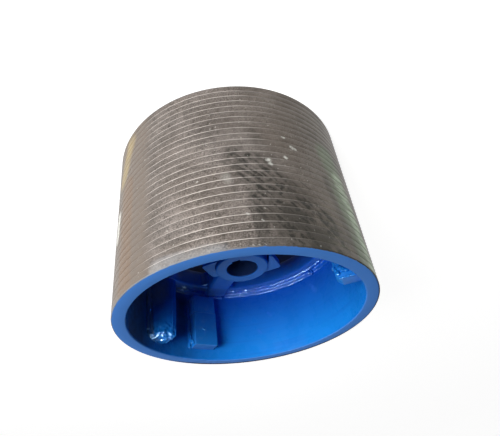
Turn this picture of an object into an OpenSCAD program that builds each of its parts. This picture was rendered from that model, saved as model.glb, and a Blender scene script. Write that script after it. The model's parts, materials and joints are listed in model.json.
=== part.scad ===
// Welded conveyor pulley drum: a thick turned shell, carried on a keyed hub by three
// arms, with a ring between the arms in the middle of the face and balance bars welded
// inside one end.
// Z is the axis of the drum, and the origin is on it, in the middle of the belt face.

/* [Drum shell] */
// Outside diameter of the belt face
drum_d = 400; // [360:10:500]
// Width of the belt face, from end to end
face_w = 300; // [280:10:420]
// Thickness of the shell
wall = 20; // [12:1:24]
// Bevel turned on the edges of both ends
end_bevel = 1.5; // [0.5:0.5:3]

/* [Turned grooves] */
// Distance from one groove to the next
groove_pitch = 12; // [6:1:30]
// Width of a groove at the belt face
groove_w = 1.6; // [0.8:0.2:3]
// Depth of a groove
groove_depth = 0.6; // [0.2:0.1:2]

/* [Centre ring] */
// Width of the ring, along the axis
ring_w = 34; // [26:2:38]
// Height of the ring, from the shell inwards
ring_h = 27; // [16:1:34]
// Rounding of the inner edges of the ring
ring_round = 3; // [1:0.5:5]
// Leg of the bead that welds the ring to the shell
ring_bead = 6; // [3:1:8]

/* [Hub] */
// Bore for the shaft
bore_d = 50; // [30:5:55]
// Outside diameter of the hub barrel
hub_d = 86; // [80:1:92]
// Length of the hub barrel
hub_l = 126; // [114:2:160]
// Bevel on the edges of the hub and its bore
hub_bevel = 1.5; // [0.5:0.5:3]
// Width of the keyway
keyway_w = 14; // [8:1:18]
// Depth of the keyway, beyond the bore
keyway_h = 3.8; // [2:0.2:5]
// Direction of the keyway round the axis
keyway_angle = -72; // [-180:1:180]

/* [Hub lugs] */
// Distance across the outer faces of two lugs
lug_span = 110; // [104:2:130]
// Width of a lug
lug_w = 42; // [38:2:46]
// How far the middle of a lug is set to one side of the axis
lug_shift = 17; // [14:1:20]
// Thickness of a lug, along the axis
lug_t = 12; // [8:1:14]
// Radius of the outer corners of a lug
lug_round = 5; // [2:1:12]
// Distance from the end of the hub back to the lugs
lug_back = 4; // [2:1:8]
// Direction of the first lug
lug_angle = 21; // [0:1:40]
// How far the gap behind the first lug is set off the axis
slim_gap = 4; // [2:1:8]
// How far the gap behind the second lug is set off the axis
wide_gap = 15; // [8:1:18]
// Direction in which the gaps are set off
gap_angle = -90; // [-95:1:-85]
// Leg of the bead that welds a lug to the hub
lug_bead = 4; // [2:1:5]

/* [Arms] */
// Direction of the first arm
arm_angle = 70; // [0:1:119]
// Width of an arm
arm_w = 42; // [34:1:50]
// Height of an arm at the hub, along the axis
arm_root_h = 74; // [60:2:76]
// Height of an arm from the ring to the shell, along the axis
arm_tip_h = 44; // [40:2:56]
// Rounding of the long edges of an arm
arm_round = 7; // [3:1:9]
// Radius of the fillet that joins an arm to the hub
root_fillet = 9; // [4:1:12]
// Radius of the fillet that joins an arm to the ring
tip_fillet = 14; // [6:1:18]
// Leg of the bead that welds the end of an arm to the shell
tip_bead = 5; // [3:1:6]

/* [Round balance bar] */
// Radius of the round back of the bar
round_bar_r = 36; // [26:1:38]
// Width of the flat ground along the inner edge of the bar
round_bar_flat = 8; // [4:1:12]
// Rounding of the nose of the bar
round_bar_nose = 14; // [6:1:20]
// Distance from the end of the shell to the nose
round_bar_inset = 16; // [8:1:30]
// Direction of the flat side of the bar
round_bar_angle = 32; // [24:1:36]

/* [Flat balance bar] */
// Width of the bar
flat_bar_w = 44; // [30:1:48]
// Height of the bar, from the shell inwards
flat_bar_h = 24; // [14:1:32]
// Distance from the end of the shell to the bar
flat_bar_inset = 20; // [8:1:40]
// Distance from the bar to the ring
flat_bar_gap = 18; // [14:1:40]
// Direction of the bar
flat_bar_angle = 59; // [56:1:70]

/* [Narrow balance bar] */
// Width of the bar
narrow_bar_w = 24; // [16:1:34]
// Height of the bar, from the shell inwards
narrow_bar_h = 37; // [26:1:42]
// Bevel on the inner corner of the bar's outer end
narrow_bar_bevel = 8; // [4:1:12]
// Distance from the end of the shell to the bar
narrow_bar_inset = 20; // [8:1:40]
// Distance from the bar to the ring
narrow_bar_gap = 18; // [14:1:40]
// Direction of the bar
narrow_bar_angle = 196; // [150:1:210]

/* [Bar welds] */
// Radius of the fillets beside the bars
bar_fillet = 6; // [3:1:8]
// Clearance between the thin edges of the fillets and the shell
weld_clear = 0.1; // [0.05:0.05:0.3]
// Rounding of the edges of the flat and the narrow bar
bar_round = 2; // [1:0.5:4]

/* [Colours] */
// Paint on the ends and the inside
paint = "royalblue";
// Paint over the weld beads
weld_paint = "cornflowerblue";
// Turned steel of the belt face
steel = "dimgray";

/* [Hidden] */
// One side to a degree, so that round walls that touch have their sides in step
$fn = 360;
shell_r = drum_d / 2;
inner_r = shell_r - wall;
ring_r = inner_r - ring_h;
hub_r = hub_d / 2;
bore_r = bore_d / 2;
weld_r = inner_r - weld_clear;
lug_z = hub_l / 2 - lug_back;
groove_count = max(0, floor(face_w / groove_pitch) - 1);
// Directions of the three arms
arm_turns = [arm_angle, arm_angle + 120, arm_angle + 240];
// Angle from the middle of a lug's gap to where the lug meets the hub
gap_reach = 100;
// Small distance between the round bar and the bead on the ring
bead_clear = 1;
round_bar_foot = ring_w / 2 + ring_bead + bead_clear;
// How far a cutting shape runs past what it cuts
over = 1;

// ---------- shapes that several pieces share ----------

// Rectangle of a given size about its centre, with round corners
module round_rect(size, r) {
    square([size.x - 2 * r, size.y], center = true);
    square([size.x, size.y - 2 * r], center = true);
    for (sx = [-1, 1], sy = [-1, 1])
        translate([sx * (size.x / 2 - r), sy * (size.y / 2 - r)])
            circle(r);
}

// Half profile of a tube that stands on the X axis, with its four edges bevelled
module tube_profile(r_in, r_out, height, bevel) {
    polygon([
        [r_in, bevel - height / 2],
        [r_in + bevel, -height / 2],
        [r_out - bevel, -height / 2],
        [r_out, bevel - height / 2],
        [r_out, height / 2 - bevel],
        [r_out - bevel, height / 2],
        [r_in + bevel, height / 2],
        [r_in, height / 2 - bevel]
    ]);
}

// Fillet between a round wall seen from inside and a straight side above the X axis
module fillet_inside(wall_r, side, r) {
    cx = sqrt((wall_r - r) ^ 2 - (side + r) ^ 2);
    top = (side + r) * wall_r / (wall_r - r);
    difference() {
        intersection() {
            circle(wall_r);
            translate([cx, side])
                square([wall_r - cx, top - side]);
        }
        translate([cx, side + r])
            circle(r);
    }
}

// Fillet between a round bar seen from outside and a straight side above the X axis
module fillet_outside(bar_r, side, r) {
    cx = sqrt((bar_r + r) ^ 2 - (side + r) ^ 2);
    foot = bar_r / (bar_r + r);
    difference() {
        translate([cx * foot, side])
            square([cx * (1 - foot), (side + r) * foot - side]);
        translate([cx, side + r])
            circle(r);
        circle(bar_r);
    }
}

// A shape and its mirror image across the X axis
module both_sides() {
    children();
    mirror([0, 1]) children();
}

// ---------- shell ----------

function groove_z(i) = (i - (groove_count - 1) / 2) * groove_pitch;

// Corners of one groove, from its lower lip to its upper lip
function groove_points(z) = [
    [shell_r, z - groove_w / 2],
    [shell_r - groove_depth, z - groove_w / 4],
    [shell_r - groove_depth, z + groove_w / 4],
    [shell_r, z + groove_w / 2]
];

module drum_shell() {
    end_z = face_w / 2;
    lower_end = [
        [inner_r, end_bevel - end_z],
        [inner_r + end_bevel, -end_z],
        [shell_r - end_bevel, -end_z],
        [shell_r, end_bevel - end_z]
    ];
    upper_end = [
        [shell_r, end_z - end_bevel],
        [shell_r - end_bevel, end_z],
        [inner_r + end_bevel, end_z],
        [inner_r, end_z - end_bevel]
    ];
    grooves = [for (i = [0 : groove_count - 1]) each groove_points(groove_z(i))];
    color(steel)
        rotate_extrude()
            polygon(concat(lower_end, grooves, upper_end));
}

// ---------- centre ring ----------

// The room that the three arms take up between the ring's segments
module arm_room() {
    for (turn = arm_turns)
        rotate(turn)
            translate([hub_r, -arm_w / 2, -face_w / 2])
                cube([inner_r, arm_w, face_w]);
}

// Whole ring, with its inner edges rounded
module full_ring() {
    mid = ring_r + ring_h / 2;
    rotate_extrude() {
        translate([mid + ring_round / 2, 0])
            square([ring_h - ring_round, ring_w], center = true);
        translate([mid, 0])
            square([ring_h, ring_w - 2 * ring_round], center = true);
        for (s = [-1, 1])
            translate([ring_r + ring_round, s * (ring_w / 2 - ring_round)])
                circle(ring_round);
    }
}

// Segment of the ring between the arm at a given direction and the next arm
module ring_segment(turn) {
    color(paint)
        intersection() {
            difference() {
                full_ring();
                arm_room();
            }
            rotate(turn)
                linear_extrude(ring_w, center = true)
                    polygon([[0, 0], [shell_r, 0], [shell_r, 2 * shell_r], [-shell_r, shell_r * sqrt(3)]]);
        }
}

module ring_segment_1() {
    ring_segment(arm_turns[0]);
}

module ring_segment_2() {
    ring_segment(arm_turns[1]);
}

module ring_segment_3() {
    ring_segment(arm_turns[2]);
}

// Quarter-round bead on the shell, with its foot at a given height
module shell_bead(foot, leg) {
    rotate_extrude()
        translate([inner_r, foot])
            intersection() {
                circle(leg);
                translate([-leg, 0])
                    square(leg);
            }
}

// Bead in the corner between the ring's segments and the shell
module ring_weld() {
    color(weld_paint)
        difference() {
            shell_bead(ring_w / 2, ring_bead);
            arm_room();
        }
}

module ring_weld_top() {
    ring_weld();
}

module ring_weld_bottom() {
    mirror([0, 0, 1]) ring_weld();
}

// ---------- hub ----------

module hub_barrel() {
    color(paint)
        difference() {
            rotate_extrude()
                tube_profile(bore_r, hub_r, hub_l, hub_bevel);
            rotate(keyway_angle)
                translate([0, -keyway_w / 2, -hub_l / 2 - over])
                    cube([bore_r + keyway_h, keyway_w, hub_l + 2 * over]);
        }
}

// The room that a lug leaves round the hub, set off the axis to one side
module lug_relief(set_off) {
    circle(hub_r);
    rotate(gap_angle)
        translate([set_off, 0])
            circle(hub_r - set_off * cos(gap_reach));
}

// Outline of the lug that points in a given direction
module lug_outline(turn, set_off) {
    difference() {
        rotate(turn)
            intersection() {
                translate([0, -lug_shift])
                    round_rect([lug_span, lug_w], lug_round);
                translate([0, -lug_shift - lug_w / 2])
                    square([lug_span / 2, lug_w]);
            }
        lug_relief(set_off);
    }
}

module lug(turn, set_off) {
    color(paint)
        translate([0, 0, lug_z - lug_t])
            linear_extrude(lug_t)
                lug_outline(turn, set_off);
}

// Bead under a lug, where the lug touches the hub
module lug_weld(turn, set_off) {
    color(weld_paint)
        intersection() {
            translate([0, 0, lug_z - lug_t])
                rotate_extrude()
                    translate([hub_r, 0])
                        intersection() {
                            circle(lug_bead);
                            translate([0, -lug_bead])
                                square(lug_bead);
                        }
            translate([0, 0, lug_z - lug_t - lug_bead - over])
                linear_extrude(lug_bead + over)
                    lug_outline(turn, set_off);
        }
}

module lug_1_top() {
    lug(lug_angle, slim_gap);
}

module lug_2_top() {
    lug(lug_angle + 180, wide_gap);
}

module lug_1_bottom() {
    mirror([0, 0, 1]) lug_1_top();
}

module lug_2_bottom() {
    mirror([0, 0, 1]) lug_2_top();
}

module lug_welds_top() {
    lug_weld(lug_angle, slim_gap);
    lug_weld(lug_angle + 180, wide_gap);
}

module lug_welds_bottom() {
    mirror([0, 0, 1]) lug_welds_top();
}

// ---------- arms ----------

// Height of the arm at a distance from the axis, on the straight line from hub to ring
function arm_height(x) = arm_root_h + (arm_tip_h - arm_root_h) * (x - hub_r) / (ring_r - hub_r);

// Stretch of an arm of one height, with its four long edges rounded
module arm_bar(x, length, height) {
    translate([x, 0, 0])
        rotate([90, 0, 90])
            linear_extrude(length)
                round_rect([arm_w, height], arm_round, $fn = 32);
}

// Arm along +X: lower and lower from the hub to the ring, then level up to the shell
module arm() {
    thin = 0.01;
    color(paint)
        intersection() {
            difference() {
                union() {
                    hull() {
                        arm_bar(hub_r / 2, thin, arm_height(hub_r / 2));
                        arm_bar(ring_r, thin, arm_tip_h);
                    }
                    arm_bar(ring_r - over, ring_h + 2 * over, arm_tip_h);
                }
                cylinder(h = 2 * arm_root_h, r = hub_r, center = true);
            }
            cylinder(h = 2 * arm_root_h, r = inner_r, center = true);
        }
}

// Fillets on both sides of an arm, in the corners with the hub
module arm_hub_weld() {
    color(weld_paint)
        linear_extrude(arm_height(hub_r + root_fillet) - 2 * arm_round, center = true)
            both_sides()
                fillet_outside(hub_r, arm_w / 2, root_fillet);
}

// Fillets between an arm and the ring's segments, and beads from the arm to the shell
module arm_ring_weld() {
    straight = min(arm_tip_h - 2 * arm_round, ring_w - 2 * ring_round);
    flat_top = arm_w - 2 * arm_round;
    color(weld_paint) {
        linear_extrude(straight, center = true)
            both_sides()
                fillet_inside(ring_r, arm_w / 2, tip_fillet);
        for (side = [0, 1])
            mirror([0, 0, side])
                intersection() {
                    shell_bead(arm_tip_h / 2, tip_bead);
                    translate([0, -flat_top / 2, 0])
                        cube([inner_r, flat_top, arm_tip_h]);
                }
    }
}

module arm_1() {
    rotate(arm_turns[0]) arm();
}

module arm_2() {
    rotate(arm_turns[1]) arm();
}

module arm_3() {
    rotate(arm_turns[2]) arm();
}

module arm_1_hub_weld() {
    rotate(arm_turns[0]) arm_hub_weld();
}

module arm_2_hub_weld() {
    rotate(arm_turns[1]) arm_hub_weld();
}

module arm_3_hub_weld() {
    rotate(arm_turns[2]) arm_hub_weld();
}

module arm_1_ring_weld() {
    rotate(arm_turns[0]) arm_ring_weld();
}

module arm_2_ring_weld() {
    rotate(arm_turns[1]) arm_ring_weld();
}

module arm_3_ring_weld() {
    rotate(arm_turns[2]) arm_ring_weld();
}

// ---------- balance bars ----------

// Length of shell between the foot of a bar and its outer end
module bar_length(foot, inset) {
    translate([0, 0, foot])
        linear_extrude(face_w / 2 - inset - foot)
            children();
}

// Half-round bar with its flat side on a radius and its round back on the shell
module round_balance_bar() {
    length = face_w / 2 - round_bar_inset - round_bar_foot;
    depth = sqrt(round_bar_r ^ 2 - round_bar_flat ^ 2);
    color(paint)
        rotate(round_bar_angle)
            translate([0, 0, round_bar_foot])
                intersection() {
                    translate([inner_r, 0, 0])
                        rotate_extrude() {
                            square([round_bar_r, length - round_bar_nose]);
                            square([round_bar_r - round_bar_nose, length]);
                            translate([round_bar_r - round_bar_nose, length - round_bar_nose])
                                intersection() {
                                    circle(round_bar_nose);
                                    square(round_bar_nose);
                                }
                        }
                    cylinder(h = length, r = inner_r);
                    translate([inner_r - depth, -inner_r, 0])
                        cube([depth, inner_r, length]);
                }
}

// Beads along the round bar: a fillet on its flat side and a bead on its round back
module round_bar_weld() {
    back_x = inner_r - round_bar_r ^ 2 / (2 * inner_r);
    back_y = -sqrt(inner_r ^ 2 - back_x ^ 2);
    color(weld_paint)
        rotate(round_bar_angle)
            bar_length(round_bar_foot, round_bar_inset + round_bar_nose) {
                fillet_inside(weld_r, 0, bar_fillet);
                difference() {
                    intersection() {
                        translate([back_x, back_y])
                            circle(bar_fillet);
                        circle(weld_r);
                    }
                    translate([inner_r, 0])
                        circle(round_bar_r);
                }
            }
}

// Section of a flat bar that lies on the inside of the shell
module bar_section(w, h) {
    mid_x = inner_r - h / 2;
    intersection() {
        circle(inner_r);
        translate([mid_x + bar_round, 0])
            round_rect([h + 2 * bar_round, w], bar_round);
    }
}

module flat_balance_bar() {
    color(paint)
        rotate(flat_bar_angle)
            bar_length(ring_w / 2 + flat_bar_gap, flat_bar_inset)
                bar_section(flat_bar_w, flat_bar_h);
}

module flat_bar_weld() {
    color(weld_paint)
        rotate(flat_bar_angle)
            bar_length(ring_w / 2 + flat_bar_gap, flat_bar_inset)
                both_sides()
                    fillet_inside(weld_r, flat_bar_w / 2, bar_fillet);
}

module narrow_balance_bar() {
    foot = ring_w / 2 + narrow_bar_gap;
    end = face_w / 2 - narrow_bar_inset;
    inner = inner_r - narrow_bar_h;
    color(paint)
        rotate(narrow_bar_angle)
            intersection() {
                bar_length(foot, narrow_bar_inset)
                    bar_section(narrow_bar_w, narrow_bar_h);
                rotate([90, 0, 0])
                    linear_extrude(narrow_bar_w, center = true)
                        polygon([
                            [inner, foot],
                            [inner_r, foot],
                            [inner_r, end],
                            [inner + narrow_bar_bevel, end],
                            [inner, end - narrow_bar_bevel]
                        ]);
            }
}

module narrow_bar_weld() {
    color(weld_paint)
        rotate(narrow_bar_angle)
            bar_length(ring_w / 2 + narrow_bar_gap, narrow_bar_inset)
                both_sides()
                    fillet_inside(weld_r, narrow_bar_w / 2, bar_fillet);
}

// ---------- the nodes ----------

drum_shell();
ring_segment_1();
ring_segment_2();
ring_segment_3();
ring_weld_top();
ring_weld_bottom();
hub_barrel();
lug_1_top();
lug_2_top();
lug_1_bottom();
lug_2_bottom();
lug_welds_top();
lug_welds_bottom();
arm_1();
arm_2();
arm_3();
arm_1_hub_weld();
arm_2_hub_weld();
arm_3_hub_weld();
arm_1_ring_weld();
arm_2_ring_weld();
arm_3_ring_weld();
round_balance_bar();
flat_balance_bar();
narrow_balance_bar();
round_bar_weld();
flat_bar_weld();
narrow_bar_weld();
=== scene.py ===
# %% [markdown]
# # A welded conveyor pulley drum
#
# The object is the drum that drives or turns a conveyor belt: a thick steel shell with
# fine turned grooves, blue enamel on its ends and inside, and a keyed hub in the middle
# that three arms and a ring hold. It stands on one end, and we look down into the other.
#
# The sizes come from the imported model, which is loaded first and never changed. Each
# piece that follows is modelled over the solid that it stands for, in metres.

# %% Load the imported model
import json
import math

import bpy
from mathutils import Matrix, Vector, noise

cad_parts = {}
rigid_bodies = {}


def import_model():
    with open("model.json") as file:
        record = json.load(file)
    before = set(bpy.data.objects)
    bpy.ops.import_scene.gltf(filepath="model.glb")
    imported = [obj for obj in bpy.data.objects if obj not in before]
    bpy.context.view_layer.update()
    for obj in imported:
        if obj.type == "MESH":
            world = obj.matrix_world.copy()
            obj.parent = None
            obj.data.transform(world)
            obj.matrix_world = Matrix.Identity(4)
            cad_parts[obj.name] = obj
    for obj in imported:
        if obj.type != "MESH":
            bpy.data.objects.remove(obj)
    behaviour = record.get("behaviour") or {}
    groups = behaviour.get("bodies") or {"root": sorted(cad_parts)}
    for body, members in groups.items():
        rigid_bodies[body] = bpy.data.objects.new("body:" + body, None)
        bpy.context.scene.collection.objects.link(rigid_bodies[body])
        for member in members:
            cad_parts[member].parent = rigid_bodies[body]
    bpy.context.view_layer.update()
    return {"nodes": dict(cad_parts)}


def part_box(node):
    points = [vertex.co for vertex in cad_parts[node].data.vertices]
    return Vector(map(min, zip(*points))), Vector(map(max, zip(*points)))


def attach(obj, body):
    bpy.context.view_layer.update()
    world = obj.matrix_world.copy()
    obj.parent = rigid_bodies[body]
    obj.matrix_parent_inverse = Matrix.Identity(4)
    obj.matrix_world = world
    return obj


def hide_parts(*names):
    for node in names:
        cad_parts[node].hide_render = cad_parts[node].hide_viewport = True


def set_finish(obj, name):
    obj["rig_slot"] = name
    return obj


MM = 0.001
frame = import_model()
print("nodes in the frame:", len(frame["nodes"]))

# %% [markdown]
# ## Sizes
#
# Every round piece is described by how far its points lie from the axis and how high
# they are, so one helper reads those from a node's mesh. Another gives the direction in
# which a node lies, seen from above. All later places are worked out from these.

# %% Read sizes from the frame
def mesh_points(node):
    """The points of a node's mesh."""
    return [vertex.co for vertex in frame["nodes"][node].data.vertices]


def radii(node):
    """The smallest and the largest distance of a node's points from the axis."""
    reaches = [math.hypot(p.x, p.y) for p in mesh_points(node)]
    return min(reaches), max(reaches)


def heading(node):
    """The direction of a node's middle from the axis, as an angle from +X."""
    low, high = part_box(node)
    return math.atan2(low[1] + high[1], low[0] + high[0])


shell_low, shell_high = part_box("drum_shell")
outer_r = min(shell_high[0], shell_high[1])
half_face = shell_high[2]
inner_r = radii("drum_shell")[0]
ring_r = radii("ring_segment_1")[0]
half_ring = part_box("ring_segment_1")[1][2]
hub_r = radii("hub_barrel")[1]
bore_r = radii("hub_barrel")[0]
half_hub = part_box("hub_barrel")[1][2]
arm_turns = [heading("arm_1"), heading("arm_2"), heading("arm_3")]
print("shell", round(outer_r, 4), "wall inside", round(inner_r, 4), "half face", half_face)
print("ring", round(ring_r, 4), "hub", round(hub_r, 4), "bore", round(bore_r, 4))
print("arms", [round(math.degrees(turn), 1) for turn in arm_turns])

# %% [markdown]
# ## Camera
#
# The drum is seen from about 34 degrees above its open end. The picture is upside down
# as well: the camera is rolled by almost half a turn, so that the open end points down.

# %% Place the camera
CAMERA_PLACE = Vector((0.0, -0.62106, 0.41902))
CAMERA_AIM = Vector((-0.02489, 0.0, -0.03817))
CAMERA_ROLL = math.radians(171.5)

bpy.ops.object.camera_add(location=CAMERA_PLACE)
camera = bpy.context.object
look = (CAMERA_AIM - CAMERA_PLACE).to_track_quat("-Z", "Y").to_matrix()
camera.rotation_euler = (look @ Matrix.Rotation(CAMERA_ROLL, 3, "Z")).to_euler()
camera.data.sensor_width = 36
camera.data.lens = 31.255
bpy.context.scene.camera = camera
print("camera at", [round(c, 3) for c in camera.location])

# %% [markdown]
# ## Tools for modelling
#
# Turned pieces start as an outline, drawn the way one does it by hand: a single point is
# extruded from corner to corner. A spin then turns the outline into a solid.
#
# An operator acts on all that is selected, so everything is deselected first.

# %% Helpers to draw and spin an outline
def deselect():
    """Leave edit mode and deselect everything."""
    if bpy.context.mode != "OBJECT":
        bpy.ops.object.mode_set(mode="OBJECT")
    bpy.ops.object.select_all(action="DESELECT")


def pick(piece):
    """Select one piece and make it the active one."""
    deselect()
    piece.select_set(True)
    bpy.context.view_layer.objects.active = piece


def settle(piece):
    """Apply a piece's place, turn and size to its mesh."""
    pick(piece)
    bpy.ops.object.transform_apply(location=True, rotation=True, scale=True)


def draw_outline(name, points):
    """Draw a closed outline through points, by extruding one point from each to the next."""
    deselect()
    bpy.ops.mesh.primitive_plane_add(size=0.001, location=points[0])
    piece = bpy.context.object
    piece.name = name
    settle(piece)
    bpy.ops.object.mode_set(mode="EDIT")
    bpy.ops.mesh.select_all(action="SELECT")
    bpy.ops.mesh.merge(type="CENTER")
    corners = [Vector(p) for p in points] + [Vector(points[0])]
    for here, there in zip(corners, corners[1:]):
        bpy.ops.mesh.extrude_region_move(TRANSFORM_OT_translate={"value": there - here})
    bpy.ops.mesh.select_all(action="SELECT")
    bpy.ops.mesh.remove_doubles(threshold=0.00001)
    return piece


def spin_outline(piece, turn, steps):
    """Spin the outline in edit mode round the axis, and close and face it outwards.

    The operator turns clockwise seen from above, so the angle is given a minus sign.
    """
    bpy.ops.mesh.select_all(action="SELECT")
    bpy.ops.mesh.spin(steps=steps, angle=-turn, center=(0, 0, 0), axis=(0, 0, 1))
    bpy.ops.mesh.select_all(action="SELECT")
    bpy.ops.mesh.remove_doubles(threshold=0.00001)
    bpy.ops.mesh.fill_holes(sides=0)
    bpy.ops.mesh.select_all(action="SELECT")
    bpy.ops.mesh.normals_make_consistent(inside=False)
    bpy.ops.object.mode_set(mode="OBJECT")
    print(piece.name, "faces", len(piece.data.polygons))


def smooth(piece, angle):
    """Shade a piece smoothly, apart from edges sharper than an angle in degrees."""
    pick(piece)
    bpy.ops.object.shade_smooth_by_angle(angle=math.radians(angle))


def arc(center, radius, start, end, count):
    """Points of an arc in the plane of distance from the axis and height."""
    turns = [start + (end - start) * i / count for i in range(count + 1)]
    return [
        (center[0] + radius * math.cos(math.radians(t)), center[1] + radius * math.sin(math.radians(t)))
        for t in turns
    ]


def stand(profile, turn):
    """Stand a profile of distances and heights up in space, in a given direction."""
    return [(r * math.cos(turn), r * math.sin(turn), z) for r, z in profile]


# %% [markdown]
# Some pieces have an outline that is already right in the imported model, such as the lugs
# cut to fit round the hub. For those, a copy of the solid is the start. Its triangles
# are loose, so the copy is merged first, flat stretches become one face again, and a
# bevel then takes the sharpness off its edges, as a file or a coat of paint does.

# %% Helpers to copy, bevel and roughen
def copy_solid(name, *nodes):
    """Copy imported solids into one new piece, with merged points and whole flat faces."""
    deselect()
    for node in nodes:
        copy = bpy.data.objects.new(name, frame["nodes"][node].data.copy())
        bpy.context.collection.objects.link(copy)
        copy.select_set(True)
        bpy.context.view_layer.objects.active = copy
    if len(nodes) > 1:
        bpy.ops.object.join()
    piece = bpy.context.view_layer.objects.active
    piece.data.materials.clear()
    bpy.ops.object.mode_set(mode="EDIT")
    bpy.ops.mesh.select_all(action="SELECT")
    bpy.ops.mesh.remove_doubles(threshold=0.00001)
    bpy.ops.mesh.dissolve_limited(angle_limit=math.radians(0.2))
    bpy.ops.mesh.normals_make_consistent(inside=False)
    bpy.ops.object.mode_set(mode="OBJECT")
    return piece


def apply_modifier(piece, kind, **settings):
    """Add a modifier with its settings and apply it."""
    pick(piece)
    modifier = piece.modifiers.new(kind.title(), kind)
    for key, value in settings.items():
        setattr(modifier, key, value)
    bpy.ops.object.modifier_apply(modifier=modifier.name)


def bevel_edges(piece, width, segments=2, angle=35):
    """Round every edge that is sharper than an angle in degrees."""
    apply_modifier(
        piece, "BEVEL", width=width, segments=segments, limit_method="ANGLE",
        angle_limit=math.radians(angle), use_clamp_overlap=True,
    )


def roughen(piece, size, height, kind="CLOUDS"):
    """Push the surface in and out by a pattern of a given size and height."""
    pattern = bpy.data.textures.new(piece.name + "_" + kind.lower(), kind)
    pattern.noise_scale = size
    apply_modifier(
        piece, "DISPLACE", texture=pattern, texture_coords="LOCAL",
        strength=height, mid_level=0.5,
    )


def finish_piece(piece, slot, *nodes):
    """Let a piece ride on the drum, name its finish and stand it for its solids."""
    deselect()
    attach(piece, "root")
    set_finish(piece, slot)
    if nodes:
        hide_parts(*nodes)
    print(piece.name, "faces", len(piece.data.polygons), "for", len(nodes), "solids")


# %% [markdown]
# ## The shell
#
# The shell is rolled from plate and then turned in a lathe, which leaves shallow grooves
# round the belt face. A groove could be a picture of dark lines, but real ones catch the
# light on their lips, so they are drawn in the outline and spun with it. The packed
# solid says where they are and how deep.

# %% Draw and spin the shell
END_ROUND = 1.5 * MM
LIP = 0.12 * MM

groove_bottoms = sorted({
    round(p.z, 5)
    for p in mesh_points("drum_shell")
    if outer_r - 1.0 * MM < math.hypot(p.x, p.y) < outer_r - 0.3 * MM and abs(p.z) < half_face - 3 * MM
})
groove_middles = [(a + b) / 2 for a, b in zip(groove_bottoms[::2], groove_bottoms[1::2])]
groove_half = (groove_bottoms[1] - groove_bottoms[0]) / 2
groove_depth = outer_r - max(
    math.hypot(p.x, p.y) for p in mesh_points("drum_shell") if abs(p.z - groove_bottoms[0]) < 0.01 * MM
)
shell_line = []
shell_line += arc((inner_r + END_ROUND, END_ROUND - half_face), END_ROUND, 180, 270, 4)
shell_line += arc((outer_r - END_ROUND, END_ROUND - half_face), END_ROUND, 270, 360, 5)
for middle in groove_middles:
    shell_line += [
        (outer_r, middle - 2 * groove_half - LIP),
        (outer_r - LIP, middle - 2 * groove_half + LIP),
        (outer_r - groove_depth, middle - groove_half),
        (outer_r - groove_depth, middle + groove_half),
        (outer_r - LIP, middle + 2 * groove_half - LIP),
        (outer_r, middle + 2 * groove_half + LIP),
    ]
shell_line += arc((outer_r - END_ROUND, half_face - END_ROUND), END_ROUND, 0, 90, 5)
shell_line += arc((inner_r + END_ROUND, half_face - END_ROUND), END_ROUND, 90, 180, 4)
print("grooves", len(groove_middles), "deep", round(groove_depth / MM, 2), "mm")
belt_shell = draw_outline("belt_shell", stand(shell_line, 0))
spin_outline(belt_shell, math.tau, 360)
smooth(belt_shell, 30)
finish_piece(belt_shell, "turned_steel", "drum_shell")

# %% [markdown]
# ## The ring
#
# Inside, at half its length, the shell is stiffened by a ring of thick flat bar. It was
# made in three segments between the arms. Each is an outline spun through a third of a
# turn, less the arms. Its edges are rounded, and its skin is pushed in and out a little,
# because bar that was bent hot and flame cut isn't true.

# %% Spin the three ring segments
EDGE_ROUND = 3 * MM
STEP = math.radians(0.5)
half_arm = 21 * MM
arm_cover = math.asin((half_arm - 1.5 * MM) / inner_r)
ring_line = [(inner_r + 0.5 * MM, -half_ring), (inner_r - 8 * MM, -half_ring), (inner_r - 16 * MM, -half_ring)]
ring_line += arc((ring_r + EDGE_ROUND, EDGE_ROUND - half_ring), EDGE_ROUND, 270, 180, 4)
ring_line += [(ring_r, z) for z in (-8 * MM, 0.0, 8 * MM)]
ring_line += arc((ring_r + EDGE_ROUND, half_ring - EDGE_ROUND), EDGE_ROUND, 180, 90, 4)
ring_line += [(inner_r - 16 * MM, half_ring), (inner_r - 8 * MM, half_ring), (inner_r + 0.5 * MM, half_ring)]
ring_arc = math.radians(120) - 2 * arm_cover
for number, turn in enumerate(arm_turns, 1):
    segment = draw_outline(f"ring_bar_{number}", stand(ring_line, turn + arm_cover))
    spin_outline(segment, ring_arc, round(ring_arc / STEP))
    roughen(segment, 0.018, 0.9 * MM)
    smooth(segment, 50)
    finish_piece(segment, "blue_paint", f"ring_segment_{number}")

# %% [markdown]
# The ring is welded to the shell on both its sides. The weld was laid in two passes: one
# runs on the ring's face and one climbs the wall, with a valley between them. The outline
# of both is spun in short steps, and its points are then moved along it by noise, so
# that the crests swell, sink and break off as hand-laid weld does.

# %% Lay the ring's two-pass welds
WELD_STEP = math.radians(0.35)


def weld_line(side):
    """Outline of the two-pass weld, above the ring for side 1 and below it for side -1."""
    points = [
        (inner_r - 15.5, -1.0), (inner_r - 14.5, 0.15), (inner_r - 13.2, 0.9), (inner_r - 12.2, 1.7),
        (inner_r - 11.2, 2.0), (inner_r - 10.2, 1.6), (inner_r - 9.2, 0.6), (inner_r - 7.8, 0.1),
        (inner_r - 6.0, 0.05), (inner_r - 4.6, 0.2), (inner_r - 3.4, 0.9), (inner_r - 2.6, 2.6),
        (inner_r - 2.0, 4.4), (inner_r - 1.3, 5.7), (inner_r - 0.4, 6.3), (inner_r + 0.8, 5.8),
        (inner_r + 0.8, -1.0),
    ]
    return points


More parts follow.
